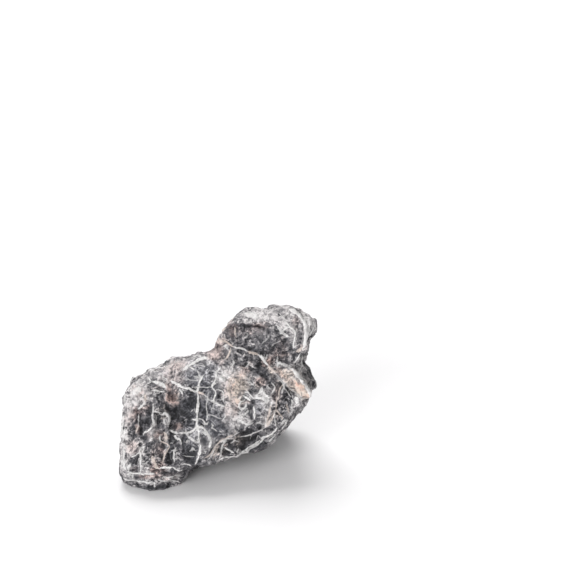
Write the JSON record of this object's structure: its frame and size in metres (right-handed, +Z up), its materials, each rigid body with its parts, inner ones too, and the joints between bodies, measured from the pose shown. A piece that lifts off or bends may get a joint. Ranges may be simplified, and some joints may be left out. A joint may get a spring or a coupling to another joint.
{
  "type": "seiryu stone",
  "caption": "Weathered grey limestone lump with white veins, a sloping front face and a raised crown; aquascape or display stone resting on a level foot.",
  "frame": {"origin": "on the ground, under the middle of the stone's bounding box", "axes": "+X to the right along the stone's length, from the low toe towards the crown; +Y away from the sloping front face; +Z up"},
  "size_m": [0.1196, 0.0884, 0.0952],
  "materials": {
    "stone": "matt weathered grey limestone with white calcite veins"
  },
  "bodies": {
    "root": {"stone": "stone"}
  },
  "joints": []
}
